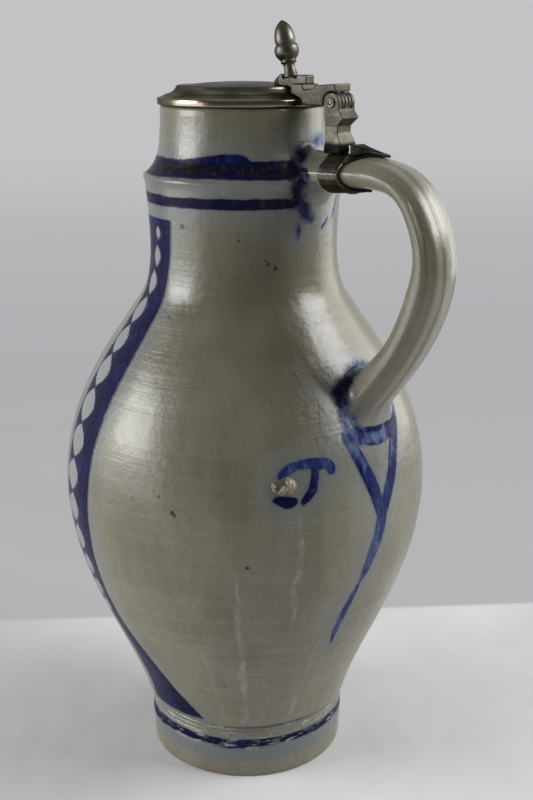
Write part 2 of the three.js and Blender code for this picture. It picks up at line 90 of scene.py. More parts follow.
# Painting: the value far from any stroke, how softly strokes run into each other, how deep the
# skin of the wall is, and how far clay stands out from the wall where it is luted on
NOWHERE = 60.0
BLEND = 1.2
SKIN = 3
LUTED = 9


# Camera and stage

def from_photo(x, y, z):
    """A place given as seen in the photograph, to the right, away and up from the foot."""
    return Matrix.Rotation(PHOTO_TURN, 3, "Z") @ Vector((x, y, z)) * MM


def add_camera():
    distance, height = 604.45, 376.7
    pitch, roll, heading = 16.63, 0.09, 40.88
    data = bpy.data.cameras.new("camera")
    data.sensor_width = 36
    data.lens = 53.1
    camera = bpy.data.objects.new("camera", data)
    camera.location = from_photo(0, -distance, height)
    camera.rotation_euler = [math.radians(a) for a in (90 - pitch, roll, heading)]
    bpy.context.scene.collection.objects.link(camera)
    bpy.context.scene.camera = camera


def add_lamp(name, place, aim, size, power, colour=(1.0, 1.0, 1.0)):
    data = bpy.data.lights.new(name, "AREA")
    data.shape = "RECTANGLE"
    data.size, data.size_y = size
    data.energy = power
    data.color = colour
    lamp = bpy.data.objects.new(name, data)
    lamp.location = from_photo(*place)
    lamp.rotation_euler = (from_photo(*aim) - lamp.location).to_track_quat("-Z", "Y").to_euler()
    bpy.context.scene.collection.objects.link(lamp)


def add_stage():
    bm = bmesh.new()
    bmesh.ops.create_grid(bm, x_segments=1, y_segments=1, size=60)
    floor = finished(bm, "floor", floor_material())


def add_room():
    """Pale paper behind the jug for all that shows it, and a dimmer room on the camera's side."""
    world = bpy.data.worlds.new("room")
    bpy.context.scene.world = world
    world.use_nodes = True
    s = Shader(tree=world.node_tree)
    way = s.add("ShaderNodeTexCoord", {}).outputs["Generated"]
    behind = tuple(from_photo(0, 1000, 0))
    facing = s.add("ShaderNodeVectorMath", {0: way, 1: behind}, operation="DOT_PRODUCT")
    back = s.step(facing.outputs["Value"], -0.3, 0.4)
    ray = s.add("ShaderNodeLightPath", {}).outputs
    mirrored = s.plus(ray["Is Glossy Ray"], ray["Is Transmission Ray"])
    shown = s.plus(ray["Is Camera Ray"], s.times(mirrored, back), clamp=True)
    dim = s.mix(back, ROOM_TONE, tuple(0.8 * c for c in PAPER_TONE))
    colour = s.mix(shown, dim, PAPER_TONE)
    light = s.add("ShaderNodeBackground", {"Color": colour, "Strength": 1.0})
    s.add("ShaderNodeOutputWorld", {"Surface": light.outputs[0]})


# Meshes

def finished(bm, name, material):
    mesh = bpy.data.meshes.new(name)
    for face in bm.faces:
        face.smooth = True
    bm.to_mesh(mesh)
    bm.free()
    obj = bpy.data.objects.new(name, mesh)
    obj.data.materials.append(material)
    bpy.context.scene.collection.objects.link(obj)
    return obj


def held(share):
    """A share kept between 0 and 1."""
    return min(1.0, max(0.0, share))


def eased(share):
    """A share kept between 0 and 1, that starts and ends gently."""
    return held(share) ** 2 * (3 - 2 * held(share))


def hump(place, middle, spread):
    """1 at the middle, falling away gently on both sides."""
    return np.exp(-((place - middle) / spread) ** 2)


def bent(a, b, start, end, t):
    """Place at share t of the curve from a to b that sets out and arrives in the given ways."""
    return ((2 * a - 2 * b + start + end) * t ** 3
            + (-3 * a + 3 * b - 2 * start - end) * t ** 2 + start * t + a)


def spline(points, count):
    """Points on a smooth line through the given ones, evenly in number between each two."""
    pts = np.array(points, float)
    last = len(pts) - 1
    out = []
    for k in range(count + 1):
        place = last * k / count
        i = min(int(place), last - 1)
        t = place - i
        a, b, c, d = pts[max(i - 1, 0)], pts[i], pts[i + 1], pts[min(i + 2, last)]
        out.append(bent(b, c, (c - a) / 2, (d - b) / 2, t))
    return np.array(out)


def quadratic(a, b, c, count):
    """Points on the curve from a to c that heads for b."""
    a, b, c = (np.array(p, float) for p in (a, b, c))
    return [(1 - t) ** 2 * a + 2 * t * (1 - t) * b + t * t * c
            for t in np.linspace(0, 1, count + 1)]


def turned(profile, steps):
    """A profile of radii and heights in millimetres, spun about Z."""
    bm = bmesh.new()
    verts = [bm.verts.new((r * MM, 0, z * MM)) for r, z in profile]
    for a, b in zip(verts, verts[1:]):
        bm.edges.new((a, b))
    bmesh.ops.spin(bm, geom=bm.verts[:] + bm.edges[:], cent=(0, 0, 0), axis=(0, 0, 1),
                   angle=CIRCLE, steps=steps, use_merge=True, use_duplicate=False, dvec=(0, 0, 0))
    bmesh.ops.remove_doubles(bm, verts=bm.verts[:], dist=1e-6)
    bmesh.ops.recalc_face_normals(bm, faces=bm.faces[:])
    return bm


def placed(bm, angle, axis, shift):
    """Turns a shape about the origin, then shifts it."""
    bmesh.ops.rotate(bm, verts=bm.verts[:], cent=(0, 0, 0), matrix=Matrix.Rotation(angle, 3, axis))
    bmesh.ops.translate(bm, verts=bm.verts[:], vec=shift)


def cast_copy(name, node, material, voxel, rounds, solder=0.0):
    """A copy of a solid with the soft edges and slight unevenness of a casting.

    Solder fills the joint lines of what lies over the lid.
    """
    bm = bmesh.new()
    bm.from_mesh(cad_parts[node].data)
    bmesh.ops.remove_doubles(bm, verts=bm.verts[:], dist=1e-6)
    rough = finished(bm, name + "_rough", material)
    skin = rough.modifiers.new("skin", "REMESH")
    skin.mode = "VOXEL"
    skin.voxel_size = voxel * MM
    soften = rough.modifiers.new("soften", "SMOOTH")
    soften.factor = 0.5
    soften.iterations = rounds
    graph = bpy.context.evaluated_depsgraph_get()
    mesh = bpy.data.meshes.new_from_object(rough.evaluated_get(graph))
    bpy.data.objects.remove(rough)
    bm = bmesh.new()
    bm.from_mesh(mesh)
    bpy.data.meshes.remove(mesh)
    for vert in bm.verts:
        push = 0.07 * noise.noise(vert.co * 210) + 0.02 * noise.noise(vert.co * 900)
        over_lid = held((SOLDER_END - vert.co.x / MM) / SOLDER_FADE)
        vert.co += vert.normal * (push + solder * over_lid) * MM
    obj = finished(bm, name, material)
    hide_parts(node)
    return obj


# Shader nodes

class Shader:
    """A material whose nodes are made by short calls."""

    def __init__(self, name=None, tree=None):
        if tree is None:
            self.material = bpy.data.materials.new(name)
            self.material.use_nodes = True
            tree = self.material.node_tree
        self.tree = tree
        self.tree.nodes.clear()
        self.coords = self.tree.nodes.new("ShaderNodeTexCoord").outputs["Object"]

    def put(self, socket, value):
        if isinstance(value, bpy.types.NodeSocket):
            self.tree.links.new(value, socket)
        elif isinstance(value, tuple) and len(value) == 3 and socket.type == "RGBA":
            socket.default_value = (*value, 1)
        else:
            socket.default_value = value

    def add(self, kind, inputs, **settings):
        made = self.tree.nodes.new(kind)
        for key, value in settings.items():
            setattr(made, key, value)
        for key, value in inputs.items():
            self.put(made.inputs[key], value)
        return made

    def math(self, operation, a, b=0.0, clamp=False):
        return self.add("ShaderNodeMath", {0: a, 1: b}, operation=operation, use_clamp=clamp).outputs[0]

    def plus(self, a, b, clamp=False):
        return self.math("ADD", a, b, clamp)

    def minus(self, a, b):
        return self.math("SUBTRACT", a, b)

    def times(self, a, b):
        return self.math("MULTIPLY", a, b)

    def sway(self, pattern, strength):
        """A pattern about its middle, so that it adds as much as it takes away."""
        return self.times(self.minus(pattern, 0.5), strength)

    def mix(self, share, a, b):
        made = self.add("ShaderNodeMix", {"Factor": share, "A": a, "B": b}, data_type="RGBA")
        return made.outputs["Result"]

    def stretch(self, scale):
        return self.add("ShaderNodeMapping", {"Vector": self.coords, "Scale": scale}).outputs[0]

    def noise(self, scale, detail=2.0, vector=None, roughness=0.5):
        made = self.add("ShaderNodeTexNoise", {
            "Vector": vector or self.coords, "Scale": scale, "Detail": detail,
            "Roughness": roughness})
        return made.outputs["Fac"]

    def step(self, value, low, high, out_low=0.0, out_high=1.0):
        made = self.add("ShaderNodeMapRange", {
            "Value": value, "From Min": low, "From Max": high, "To Min": out_low,
            "To Max": out_high}, interpolation_type="SMOOTHSTEP")
        return made.outputs["Result"]

    def attribute(self, name):
        return self.add("ShaderNodeAttribute", {}, attribute_name=name).outputs["Fac"]

    def axis(self, name):
        return self.add("ShaderNodeSeparateXYZ", {"Vector": self.coords}).outputs[name]

    def climb(self, low, high):
        """A step between two heights in millimetres."""
        return self.step(self.axis("Z"), low * MM, high * MM)

    def cells(self, scale, channel, narrow, wide, rare, common):
        """Round dots in some of the cells of a pattern, picked by one channel of their colours."""
        cell = self.add("ShaderNodeTexVoronoi", {"Vector": self.coords, "Scale": scale})
        pick = self.add("ShaderNodeSeparateColor", {"Color": cell.outputs["Color"]}).outputs[channel]
        dot = self.step(cell.outputs["Distance"], wide, narrow)
        return self.times(dot, self.step(pick, rare, common))

    def bump(self, height, distance):
        """A bumpy surface whose highest places stand this many millimetres above the lowest."""
        inputs = {"Height": height, "Distance": distance * MM, "Strength": 1.0}
        return self.add("ShaderNodeBump", inputs).outputs["Normal"]

    def shown(self, shader):
        self.add("ShaderNodeOutputMaterial", {"Surface": shader})
        return self.material

    def surface(self, inputs):
        return self.shown(self.add("ShaderNodeBsdfPrincipled", inputs).outputs[0])


def floor_material():
    s = Shader("pale_cloth")
    x, y = s.axis("X"), s.axis("Y")
    away = s.plus(s.times(x, -math.sin(PHOTO_TURN)), s.times(y, math.cos(PHOTO_TURN)))
    side = s.plus(s.times(x, math.cos(PHOTO_TURN)), s.times(y, math.sin(PHOTO_TURN)))
    far = s.step(s.plus(away, s.times(side, -0.05)), 0.137, 0.143)
    weave = s.noise(7, 3)
    cloth = s.mix(s.step(weave, 0.35, 0.7), (0.57, 0.57, 0.575), (0.63, 0.63, 0.635))
    matt = s.add("ShaderNodeBsdfPrincipled", {
        "Base Color": cloth, "Roughness": 0.9, "Specular IOR Level": 0.1,
        "Normal": s.bump(s.noise(14, 3), 3)})
    # the paper starts where the cloth ends, and shows its plain tone to the camera and in pewter
    ray = s.add("ShaderNodeLightPath", {}).outputs
    seen = s.plus(ray["Is Camera Ray"], ray["Is Glossy Ray"])
    seen = s.plus(seen, ray["Is Transmission Ray"], clamp=True)
    tone = s.mix(s.step(away, 0.25, 4.0), NEAR_PAPER_TONE, PAPER_TONE)
    paper = s.add("ShaderNodeEmission", {"Color": tone, "Strength": 1.0})
    share = s.times(s.times(seen, far), s.step(away, 0.14, 1.2, 0.85, 1.0))
    return s.shown(s.add("ShaderNodeMixShader", {
        0: share, 1: matt.outputs[0], 2: paper.outputs[0]}).outputs[0])


def glaze_material(name, fluted=False):
    """Salt glaze with its orange peel, throwing lines and specks, and the cobalt under it."""
    s = Shader(name)
    cloud = s.noise(16, 4)
    mottle = s.noise(85, 5, roughness=0.6)
    grit = s.noise(420, 3, roughness=0.7)
    rings = s.noise(1, 4, s.stretch((6, 6, 330)), 0.65)
    if fluted:
        pulled = s.add("ShaderNodeCombineXYZ", {"X": s.attribute("around"), "Y": s.attribute("along")})
        rings = s.noise(1, 4, pulled.outputs[0], 0.65)
    runs = s.noise(1, 3, s.stretch((75, 75, 7)), 0.55)

    # clay from dark to pale, with lines from the throwing, warm clouds and grit
    tint = s.plus(s.times(cloud, 0.5), s.times(mottle, 0.12))
    tint = s.plus(tint, s.times(runs, 0.38))
    clay = s.mix(s.step(tint, 0.36, 0.64), (0.143, 0.134, 0.085), (0.237, 0.226, 0.160))
    clay = s.mix(s.step(rings, 0.38, 0.72, 0.0, 0.24), clay, (0.30, 0.29, 0.23))
    warm = s.noise(11, 3)
    clay = s.mix(s.step(warm, 0.5, 0.72, 0.0, 0.35), clay, (0.19, 0.15, 0.108))
    # the clay is darker towards the neck, on the wall more than on the handle
    wall = s.attribute("wall") if fluted else 1.0
    darker = s.plus(0.25, s.times(wall, 0.3))
    darker = s.times(s.climb(20, 320), darker)
    clay = s.mix(darker, clay, (0.080, 0.076, 0.050))
    clay = s.mix(s.step(grit, 0.36, 0.70, 0.0, 0.38), clay, (0.12, 0.11, 0.075))
    # specks of iron, and pale specks that are glaze bubbles and painted glints
    iron = s.cells(95, "Red", 0.04, 0.09, 0.93, 0.95)
    clay = s.mix(s.times(iron, 0.75), clay, (0.045, 0.035, 0.025))
    bubble_and_glint = s.cells(190, "Green", 0.05, 0.11, 0.86, 0.9)
    clay = s.mix(s.times(bubble_and_glint, 0.35), clay, (0.45, 0.45, 0.41))
    # gloss and orange peel
    rough = s.plus(s.step(mottle, 0.3, 0.7, 0.19, 0.25), s.times(wall, 0.08))
    peel = s.plus(s.times(grit, 0.5), s.times(s.noise(190, 3), 0.9))
    peel = s.plus(peel, s.times(mottle, 0.7))
    height = s.plus(s.times(peel, 0.85), s.times(rings, 0.75))
    if fluted:
        # painted shade darkens the flutes and a painted highlight pales the ridges
        ridge = s.attribute("ridge")
        free = s.minus(1.0, wall)
        hollow = s.times(s.step(ridge, 0.8, 0.2, 0.0, 0.15), free)
        clay = s.mix(hollow, clay, (0.10, 0.092, 0.066))
        clay = s.mix(s.times(s.step(ridge, 0.8, 1.0, 0.0, 0.3), free), clay, (0.42, 0.41, 0.37))
    clay, height, cover = painted_layers(s, clay, height, cloud, mottle, grit)
    shine = s.add("ShaderNodeMapRange", {"Value": cover, "To Min": 0.45, "To Max": 0.07})
    return s.surface({
        "Base Color": clay, "Roughness": rough, "IOR": 1.5,
        "Specular IOR Level": shine.outputs["Result"],
        "Coat Weight": s.times(shine.outputs["Result"], 0.6),
        "Coat Roughness": 0.18, "Normal": s.bump(height, 0.35)})


def painted_layers(s, clay, height, cloud, mottle, grit):
    """What lies on the clay under the glaze, laid on from the attributes that paint() writes."""
    cobalt = s.attribute("cobalt")
    fray = s.plus(s.sway(s.noise(130, 3), 1.3), s.sway(grit, 0.6))
    torn = s.attribute("torn")
    patchy = s.minus(s.noise(210, 4, roughness=0.7), 0.5)
    ragged = s.times(torn, patchy)
    blue = s.plus(s.plus(cobalt, fray), s.times(ragged, 5.5))
    tone = s.plus(s.attribute("tone"), s.times(ragged, 1.3))
    on_foot = s.climb(FOOT_HEIGHT, FOOT_HEIGHT - 2)
    # bluish wash run down below the blue band of the foot, and pale chips on its ridges
    wash = s.times(s.climb(7, 13), s.climb(18.5, 16.5))
    clay = s.mix(s.times(wash, 0.6), clay, (0.110, 0.130, 0.145))
    chips = s.step(s.noise(1, 5, s.stretch((120, 120, 520)), 0.7), 0.54, 0.64)
    chips = s.times(chips, s.times(on_foot, s.climb(16, 19)))
    # faint blue bloom in the glaze round the brushwork
    bloom = s.step(s.plus(cobalt, s.times(cloud, 6.0)), -12.0, 4.0)
    clay = s.mix(s.times(bloom, 0.36), clay, (0.15, 0.185, 0.225))
    bleed = s.step(s.plus(cobalt, fray), -2.2, 0.6)
    clay = s.mix(s.times(bleed, 0.4), clay, (0.075, 0.09, 0.13))
    # pale salt runs
    salt = s.step(s.plus(s.attribute("salt"), s.times(fray, 1.6)), -0.8, 1.8)
    broken = s.step(s.noise(1, 4, s.stretch((230, 230, 120)), 0.7), 0.42, 0.6, 0.12, 0.62)
    clay = s.mix(s.times(salt, broken), clay, (0.38, 0.37, 0.335))
    # bare ovals in the border
    bare = s.step(s.attribute("bare"), -0.1, 0.5)
    clay = s.mix(s.times(bare, 0.85), clay, (0.235, 0.245, 0.25))
    # the hairline, dark with dirt
    hair = s.step(s.math("ABSOLUTE", s.attribute("crack")), 0.42, 0.12, 0.0, 0.75)
    hair = s.times(hair, s.step(grit, 0.36, 0.5))
    clay = s.mix(hair, clay, (0.035, 0.03, 0.024))
    # iron spots
    spot = 0.0
    uneven = s.sway(grit, 0.0016)
    for place, row in zip(surface_points(IRON_SPOTS), IRON_SPOTS):
        half = row[2] * MM
        gap = s.add("ShaderNodeVectorMath", {0: s.coords, 1: tuple(place * MM)}, operation="DISTANCE")
        gap = s.plus(gap.outputs["Value"], uneven)
        spot = s.math("MAXIMUM", spot, s.step(gap, 1.25 * half, 0.8 * half))
    clay = s.mix(s.times(spot, 0.95), clay, (0.010, 0.008, 0.006))
    # cobalt, from a thin wash to a thick burnt layer
    brush = s.noise(1, 3, s.stretch((330, 330, 45)), 0.6)
    pool = tone
    for pattern, strength in ((mottle, 0.8), (brush, 0.75), (grit, 0.45)):
        pool = s.plus(pool, s.sway(pattern, strength))
    thin = s.mix(s.step(pool, 0.05, 0.45), (0.088, 0.120, 0.210), (0.014, 0.024, 0.105))
    deep = s.mix(s.step(pool, 0.35, 0.8), thin, (0.0030, 0.0032, 0.031))
    ash = s.mix(s.step(grit, 0.5, 0.68), (0.005, 0.0045, 0.011), (0.024, 0.021, 0.019))
    burnt_and_shade = s.mix(s.step(pool, 0.80, 1.06), deep, ash)
    scuffed = s.step(s.noise(1, 4, s.stretch((70, 70, 260)), 0.7), 0.30, 0.46)
    scuffed = s.math("MAXIMUM", scuffed, s.minus(1.0, on_foot))
    crisp, smoky = s.step(blue, -0.4, 0.6), s.step(blue, -2.4, 2.4)
    cover = s.plus(crisp, s.times(torn, s.minus(smoky, crisp)))
    cover = s.times(cover, scuffed)
    worn = s.step(s.noise(240, 4, roughness=0.7), 0.30, 0.42, 0.86, 1.0)
    clay = s.mix(s.times(cover, worn), clay, burnt_and_shade)
    clay = s.mix(s.times(chips, 0.75), clay, (0.40, 0.39, 0.35))
    # incised outlines
    line = s.step(s.math("ABSOLUTE", s.attribute("incised")), 0.85, 0.3)
    clay = s.mix(s.times(line, 0.9), clay, (0.02, 0.02, 0.04))
    height = s.plus(height, s.times(line, -0.9))
    height = s.plus(height, s.times(cover, 0.25))
    return clay, height, cover


def pewter_material(name, bright, dark, rough_low, rough_high, turned_lines=False, black_part=None,
                    soot=0.5):
    """Old pewter: grey mottle, dark patina in the corners, fine scratches."""
    s = Shader(name)
    cloud = s.noise(70, 4, roughness=0.6)
    grain = s.noise(600, 4, roughness=0.7)
    scratch = s.noise(1, 3, s.stretch((90, 900, 700)), 0.6)
    tone = s.plus(s.times(cloud, 0.6), s.times(grain, 0.4))
    metal = s.mix(s.step(tone, 0.35, 0.65), dark, bright)
    corner = s.add("ShaderNodeAmbientOcclusion", {"Distance": 0.0022}, samples=8)
    grime = s.step(corner.outputs["AO"], 0.75, 0.2, 0.0, soot)
    metal = s.mix(grime, metal, (0.05, 0.047, 0.038))
    rough = s.step(tone, 0.3, 0.7, rough_high, rough_low)
    height = s.plus(s.times(grain, 0.4), s.times(scratch, 0.3))
    height = s.plus(height, s.times(cloud, 0.35))
    if turned_lines:
        squares = s.plus(s.math("POWER", s.axis("X"), 2.0), s.math("POWER", s.axis("Y"), 2.0))
        at_radius = s.add("ShaderNodeCombineXYZ", {"X": s.math("POWER", squares, 0.5)}).outputs[0]
        lines = s.noise(1500, 3, at_radius, 0.7)
        height = s.plus(height, s.times(lines, 0.5))
        metal = s.mix(s.step(lines, 0.55, 0.75, 0.0, 0.25), metal, (0.12, 0.115, 0.095))
        # rim rubbed bright by the thumb
        rim = s.climb(LID_BOTTOM + 4.2, LID_BOTTOM + 3.5)
        metal = s.mix(s.times(rim, 0.8), metal, (0.30, 0.262, 0.20))
        rough = s.minus(rough, s.times(rim, 0.12))
        # painted reflection: the top of the dome is a little paler, as where it catches the pale paper
        top = s.climb(LID_TOP - 0.6, LID_TOP)
        metal = s.mix(s.times(top, 0.08), metal, (0.36, 0.35, 0.30))
    if black_part:
        # the foot of the post and the point of the spur are nearly black
        uneven = s.times(cloud, 0.0012)
        if black_part == "foot":
            black = s.step(s.plus(s.axis("Z"), uneven), 0.3358, 0.3336)
        else:
            black = s.step(s.plus(s.axis("X"), uneven), 0.070, 0.077, 0.0, 0.8)
        near_black = s.mix(s.step(tone, 0.35, 0.65), (0.003, 0.0027, 0.002), (0.012, 0.011, 0.009))
        metal = s.mix(black, metal, near_black)
    return s.surface({"Base Color": metal, "Metallic": 1.0, "Roughness": rough,
                      "Specular Tint": (0.42, 0.41, 0.37), "Normal": s.bump(height, 0.12)})


# Body

def body_line():
    """Wall from the top of the foot to the collar, from shares of its width and height."""
    rising = [(0, 0.04), (0.125, 0.168), (0.26, 0.34), (0.416, 0.555),
              (0.572, 0.75), (0.737, 0.905), (0.883, 0.98)]
    closing = [(0, 0), (0.13, 0.035), (0.27, 0.13), (0.4, 0.28),
               (0.53, 0.48), (0.67, 0.74), (0.78, 0.93), (0.89, 0.995)]
    line = [(FOOT_BAND_RADIUS + out * (BELLY_RADIUS - FOOT_BAND_RADIUS),
             FOOT_HEIGHT + up * (BELLY_HEIGHT - FOOT_HEIGHT)) for up, out in rising]
    line += [(BELLY_RADIUS - out * (BELLY_RADIUS - NECK_RADIUS),
              BELLY_HEIGHT + up * (NECK_HEIGHT - BELLY_HEIGHT)) for up, out in closing]
    line.append((NECK_RADIUS, NECK_HEIGHT))
    line.append((NECK_RADIUS + 0.35 * (COLLAR_RADIUS - NECK_RADIUS), COLLAR_FOOT))
    return list(spline(line, 180))


def foot_line():
    """Underside, sunk band and grooves of the foot."""
    low = FOOT_BAND_HEIGHT - FOOT_BAND_WIDTH / 2
    high = FOOT_BAND_HEIGHT + FOOT_BAND_WIDTH / 2
    sunk = FOOT_BAND_RADIUS - 0.7
    line = [(0, 0), (20, 0), (40, 0), (FOOT_RADIUS - 1.4, 0), (FOOT_RADIUS - 0.4, 0.4),
            (FOOT_RADIUS, 1.4)]
    line += [(FOOT_RADIUS + 0.7 * t, 1.4 + t * (low - 1.4)) for t in np.linspace(0.12, 1, 8)]
    line += [(sunk, low + 0.7), (sunk, low + 2), (sunk, high - 2), (sunk, high - 0.7),
             (FOOT_BAND_RADIUS, high)]
    for i in range(3):
        z = high + (i + 1) * GROOVE_PITCH
        line += [(FOOT_BAND_RADIUS + out, z + up) for out, up in (
            (0.1, -0.9), (-0.3, -0.4), (-0.45, 0), (-0.3, 0.4), (0.1, 0.8))]
    return line


def neck_line():
    """Collar, and the straight rim above it."""
    collar = spline([(COLLAR_RADIUS - inward, COLLAR_HEIGHT - down) for inward, down in (
        (1.75, 12), (1.3, 8), (0.9, 3.4), (0, 0.8))], 10)
    flare = quadratic((COLLAR_RADIUS - 0.3, COLLAR_HEIGHT + 0.3), (RIM_RADIUS + 1.4, COLLAR_HEIGHT + 5),
                      (RIM_RADIUS + 0.6, FLARE_TOP), 14)
    top = [(RIM_RADIUS + 0.3, FLARE_TOP + 4), (RIM_RADIUS, FLARE_TOP + 8), (RIM_RADIUS, FLARE_TOP + 11),
           (RIM_RADIUS, RIM_HEIGHT - 1.4), (RIM_RADIUS - 0.4, RIM_HEIGHT - 0.4),
           (RIM_RADIUS - 1.4, RIM_HEIGHT)]
    return [*collar[1:], *flare, *top]


OUTER = foot_line() + body_line() + neck_line()
# The first five points lie under the foot
WALL_RADII, WALL_HEIGHTS = np.array(OUTER[5:]).T


def radius_at(z):
    """Outside radius of the body at a height, in millimetres."""
    return np.interp(z, WALL_HEIGHTS, WALL_RADII)


def inner_line():
    """The hollow, from the rim down to the middle of its floor."""
    throat = RIM_RADIUS - WALL
    line = [(throat + 1.4, RIM_HEIGHT), (throat + 0.4, RIM_HEIGHT - 0.4), (throat, RIM_HEIGHT - 1.4),
            (throat, FLARE_TOP), (NECK_RADIUS - WALL - 1, COLLAR_FOOT)]
    for z in np.linspace(NECK_HEIGHT, FOOT_HEIGHT + 4, 26):
        line.append((float(radius_at(z)) - WALL, z))
    floor = FOOT_BAND_RADIUS - WALL
    return line + [(floor - 1, FLOOR + 12), (floor - 5, FLOOR + 4), (floor - 14, FLOOR), (0, FLOOR)]


# Cobalt bands round the jug: tone from pale to burnt, bottom, top and unevenness
BANDS = [(0.84, 317.1, 325.8, 0.35), (0.90, 303.4, 308.8, 0.3), (0.76, 17.4, 22.9, 0.9)]
# The neck's bands stop at these angles, on both sides of the handle's root
BAND_ENDS = (-13.5, 42)
# Cobalt strokes: a tone, and points of angle, height and half width. First the smoky blots
SMOKE = [
    (1.05, [(3.4, 332.6, 1.1), (-3.7, 331.3, 2.1), (-9, 329.6, 2.8), (-10.4, 326, 2.8)]),
    (0.64, [(-9.8, 327.4, 2.4), (-11.2, 323.6, 2.5), (-14.2, 320.4, 2.1)]),
    (0.92, [(-15.2, 318.4, 2.6), (-17.6, 313, 3.5), (-17.2, 309.6, 3.3)]),
    (0.64, [(-15.6, 308, 3.3), (-12.6, 304, 3.4), (-9.2, 300, 3.2), (-5.8, 297.2, 1.8)]),
    (0.30, [(-15.4, 296, 0.3), (-15, 292.6, 0.7), (-15, 289, 0.2)]),
    (0.14, [(5, 333.6, 1.2), (10, 334.2, 2.8), (17.5, 334, 3.2)]),
    (0.32, [(9, 226.4, 1.3), (3, 227.8, 2.1), (-2.4, 227.4, 2.1), (-6.4, 225.8, 1.6)]),
    (0.86, [(8.6, 224.6, 0.9), (1.5, 225.4, 1.7), (-4, 224.6, 2.2)]),
    (0.96, [(-4, 224.6, 2.2), (-9.6, 222.1, 3.2), (-12.8, 219, 3.9), (-13.8, 214.8, 3.2)]),
    (0.42, [(-13.2, 213.4, 3.4), (-13.4, 210.6, 2.8)]),
]
# Dabs on the neck, beside the handle
NECK_DABS = [
    (0.34, [(10.6, 297, 0.8), (7.4, 294.6, 1.1), (4, 292.3, 0.8)]),
    (0.10, [(21.6, 306.5, 0.6), (19.8, 303.6, 1.2), (16.2, 297, 0.9)]),
    (0.80, [(44, 330, 3), (45.5, 318, 4.4), (44, 306, 4), (41, 298, 2.4)]),
]
# Flourish round the kiln scar
FLOURISH = [
    (0.42, [(-38.2, 185.6, 1.6), (-36.4, 187.6, 2.2), (-33.1, 189.9, 2.4), (-27.5, 190.4, 2.6),
            (-22.8, 189, 2.9), (-21.7, 186.9, 2.6), (-21.7, 185.9, 2.3)]),
    (0.55, [(-27.2, 189.6, 2), (-27.2, 184, 2.1), (-28.2, 178.8, 2.3)]),
    (0.78, [(-28.2, 178.8, 2.3), (-29.9, 175.2, 2.4), (-31.4, 173, 1.7)]),
    (0.68, [(-39.9, 175.2, 1.3), (-38.1, 174.5, 2.5), (-36, 173.6, 3.1), (-34, 173.9, 2.2)]),
]
# Mark under the handle's root, drawn out into a tail
ROOT_MARK = [
    (0.04, [(-13.4, 210.6, 2.9), (-13.4, 207, 2.8), (-13, 203.6, 2.7), (-12.4, 200.6, 2.5)]),
    (0.02, [(-10.6, 207.4, 1.2), (-10.2, 204.4, 1.8), (-9.4, 201.8, 1.6)]),
    (0.34, [(-13.6, 199.8, 4), (-10.8, 199, 4.6), (-8, 198.2, 4.9)]),
    (0.22, [(-5.4, 197.2, 4.8), (-2, 196.4, 5), (1.4, 196.2, 4.9)]),
    (0.66, [(4, 196.8, 4.5), (6, 196.8, 4.4), (8.2, 197, 4.1)]),
    (0.20, [(-14.2, 198, 3.2), (-13.2, 195, 3.3), (-12.4, 192.4, 3.3)]),
    (0.46, [(-12, 190.8, 3.5), (-10.2, 184.6, 3.8), (-8.4, 178.5, 4), (-6.2, 169, 3.9),
            (-4.4, 160, 3.6)]),
    (0.14, [(13.6, 208.6, 0.5), (12.6, 204.4, 1.4), (11.4, 201.6, 2)]),
    (0.50, [(10.8, 200.6, 2.5), (8.4, 196, 3.7), (5, 187, 3.7), (2.4, 177.3, 3.8),
            (-0.9, 167.3, 3.8), (-3.4, 159, 3.6)]),
    (0.26, [(-3.9, 158, 3.8), (-4.7, 147.7, 4), (-6.6, 138.6, 3.6), (-8.8, 128.6, 2.2),
            (-10, 123.4, 1.3)]),
    (0.32, [(-10.5, 121.6, 1.3), (-13, 109.4, 2.4), (-14.6, 96, 2), (-14.4, 85.7, 0.9)]),
]
# Streaks in the strokes, laid over them
STREAKS = [
    (0.86, [(-13.4, 190.4, 0.6), (-11.9, 184.6, 1), (-10.4, 178.6, 1), (-8.6, 171, 0.8)]),
    (0.80, [(-9.4, 201.4, 1.2), (-8.4, 198.6, 1.5)]),
    (0.78, [(-5.2, 200.4, 1.5), (-2.4, 199.8, 1.7), (0.6, 199.6, 1.4)]),
    (0.84, [(3.4, 200.2, 1.4), (6.6, 200.4, 1.6), (9.6, 200.6, 1.2)]),
    (0.02, [(2.4, 200, 0.6), (2.4, 196, 0.9), (2.2, 192.8, 0.6)]),
    (0.74, [(-6.8, 192.6, 0.9), (-3, 191.6, 1), (0.4, 191.8, 0.8)]),
    (0.06, [(6.4, 193.8, 0.5), (4.4, 188, 0.8), (2.8, 183, 0.8), (1.8, 179, 0.5)]),
    (0.14, [(-12, 193.6, 0.9), (-10.4, 188.4, 0.9), (-9.2, 184, 0.6)]),
    (0.76, [(-35.8, 172.8, 1.8), (-34, 173.6, 1.8)]),
    (0.78, [(-30.4, 175, 1.2), (-31.4, 173.4, 1.3)]),
    (0.20, [(-33.4, 188.9, 0.7), (-32.9, 187.4, 0.8)]),
    (0.24, [(-28.6, 178.4, 0.5), (-27.6, 177.6, 0.8)]),
]
# Thick blue that widens the upper band of the neck
NECK_RISE = [
    (0.80, [(-104, 322.5, 1.5), (-88, 323.2, 2.8), (-70, 324.4, 3.6), (-55, 325.2, 3.9),
            (-48, 324.8, 3.2), (-44.6, 323, 2.3)]),
]
